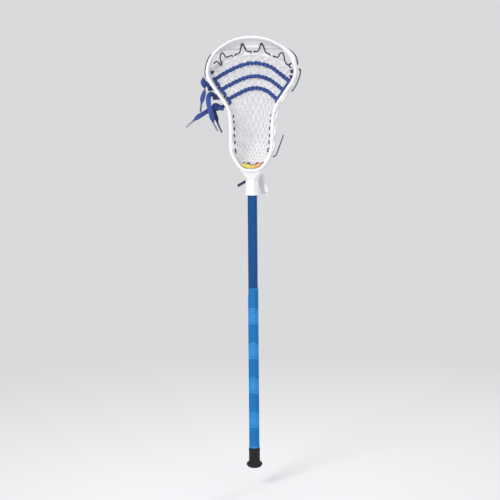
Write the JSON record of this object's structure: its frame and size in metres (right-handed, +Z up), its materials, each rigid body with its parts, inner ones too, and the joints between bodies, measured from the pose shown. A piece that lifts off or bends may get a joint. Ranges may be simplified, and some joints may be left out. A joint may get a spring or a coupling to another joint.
{
  "type": "lacrosse stick",
  "caption": "Lacrosse stick with a moulded head, laced mesh pocket, octagonal metal shaft, wrapped grip and rubber end cap.",
  "frame": {"origin": "centre of the end cap's flat bottom, at the butt of the stick", "axes": "+Z runs up the shaft to the scoop, -Y is the open face of the head where the ball enters, the pocket bulges to +Y, and +X is to the right of someone who looks into the pocket"},
  "size_m": [0.2503, 0.097, 0.942],
  "materials": {
    "head_plastic": "moulded nylon, satin white",
    "foam": "closed-cell foam, matte yellow",
    "anodised_aluminium": "blue anodised, satin",
    "grip": "two-tone blue grip tape, slightly tacky",
    "rubber": "matte black",
    "screw_steel": "plated steel",
    "mesh_cord": "knitted nylon cord, matte white",
    "navy_string": "braided nylon, navy",
    "blue_lace": "flat woven nylon, royal blue",
    "aglet_plastic": "clear grey plastic film"
  },
  "bodies": {
    "stick": {"head_frame": "head_plastic", "ball_stop": "foam", "shaft": "anodised_aluminium", "grip_wrap": "grip", "head_screw": "screw_steel", "pocket_mesh": "mesh_cord", "top_string": "navy_string", "sidewall_string_right": "navy_string", "sidewall_string_left": "navy_string", "upper_string_run_left": "navy_string", "upper_string_run_right": "navy_string", "bottom_string": "navy_string", "sidewall_string_tail": "navy_string", "shooting_lace_1": "blue_lace", "shooting_lace_2": "blue_lace", "shooting_lace_3": "blue_lace", "shooting_lace_outer_run": "blue_lace", "lace_tail_a": "blue_lace", "aglet_a": "aglet_plastic", "lace_tail_b": "blue_lace", "aglet_b": "aglet_plastic", "lace_tail_c": "blue_lace", "aglet_c": "aglet_plastic", "lace_tail_d": "blue_lace", "aglet_d": "aglet_plastic", "throat_lace_end": "navy_string", "mesh_tail_1": "mesh_cord", "mesh_tail_2": "mesh_cord", "mesh_tail_3": "mesh_cord"},
    "butt": {"end_cap": "rubber"}
  },
  "joints": [
    {"name": "cap_pull", "type": "slide", "parent": "stick", "child": "butt", "axis": [0, 0, -1], "range_m": [0, 0.045]}
  ]
}
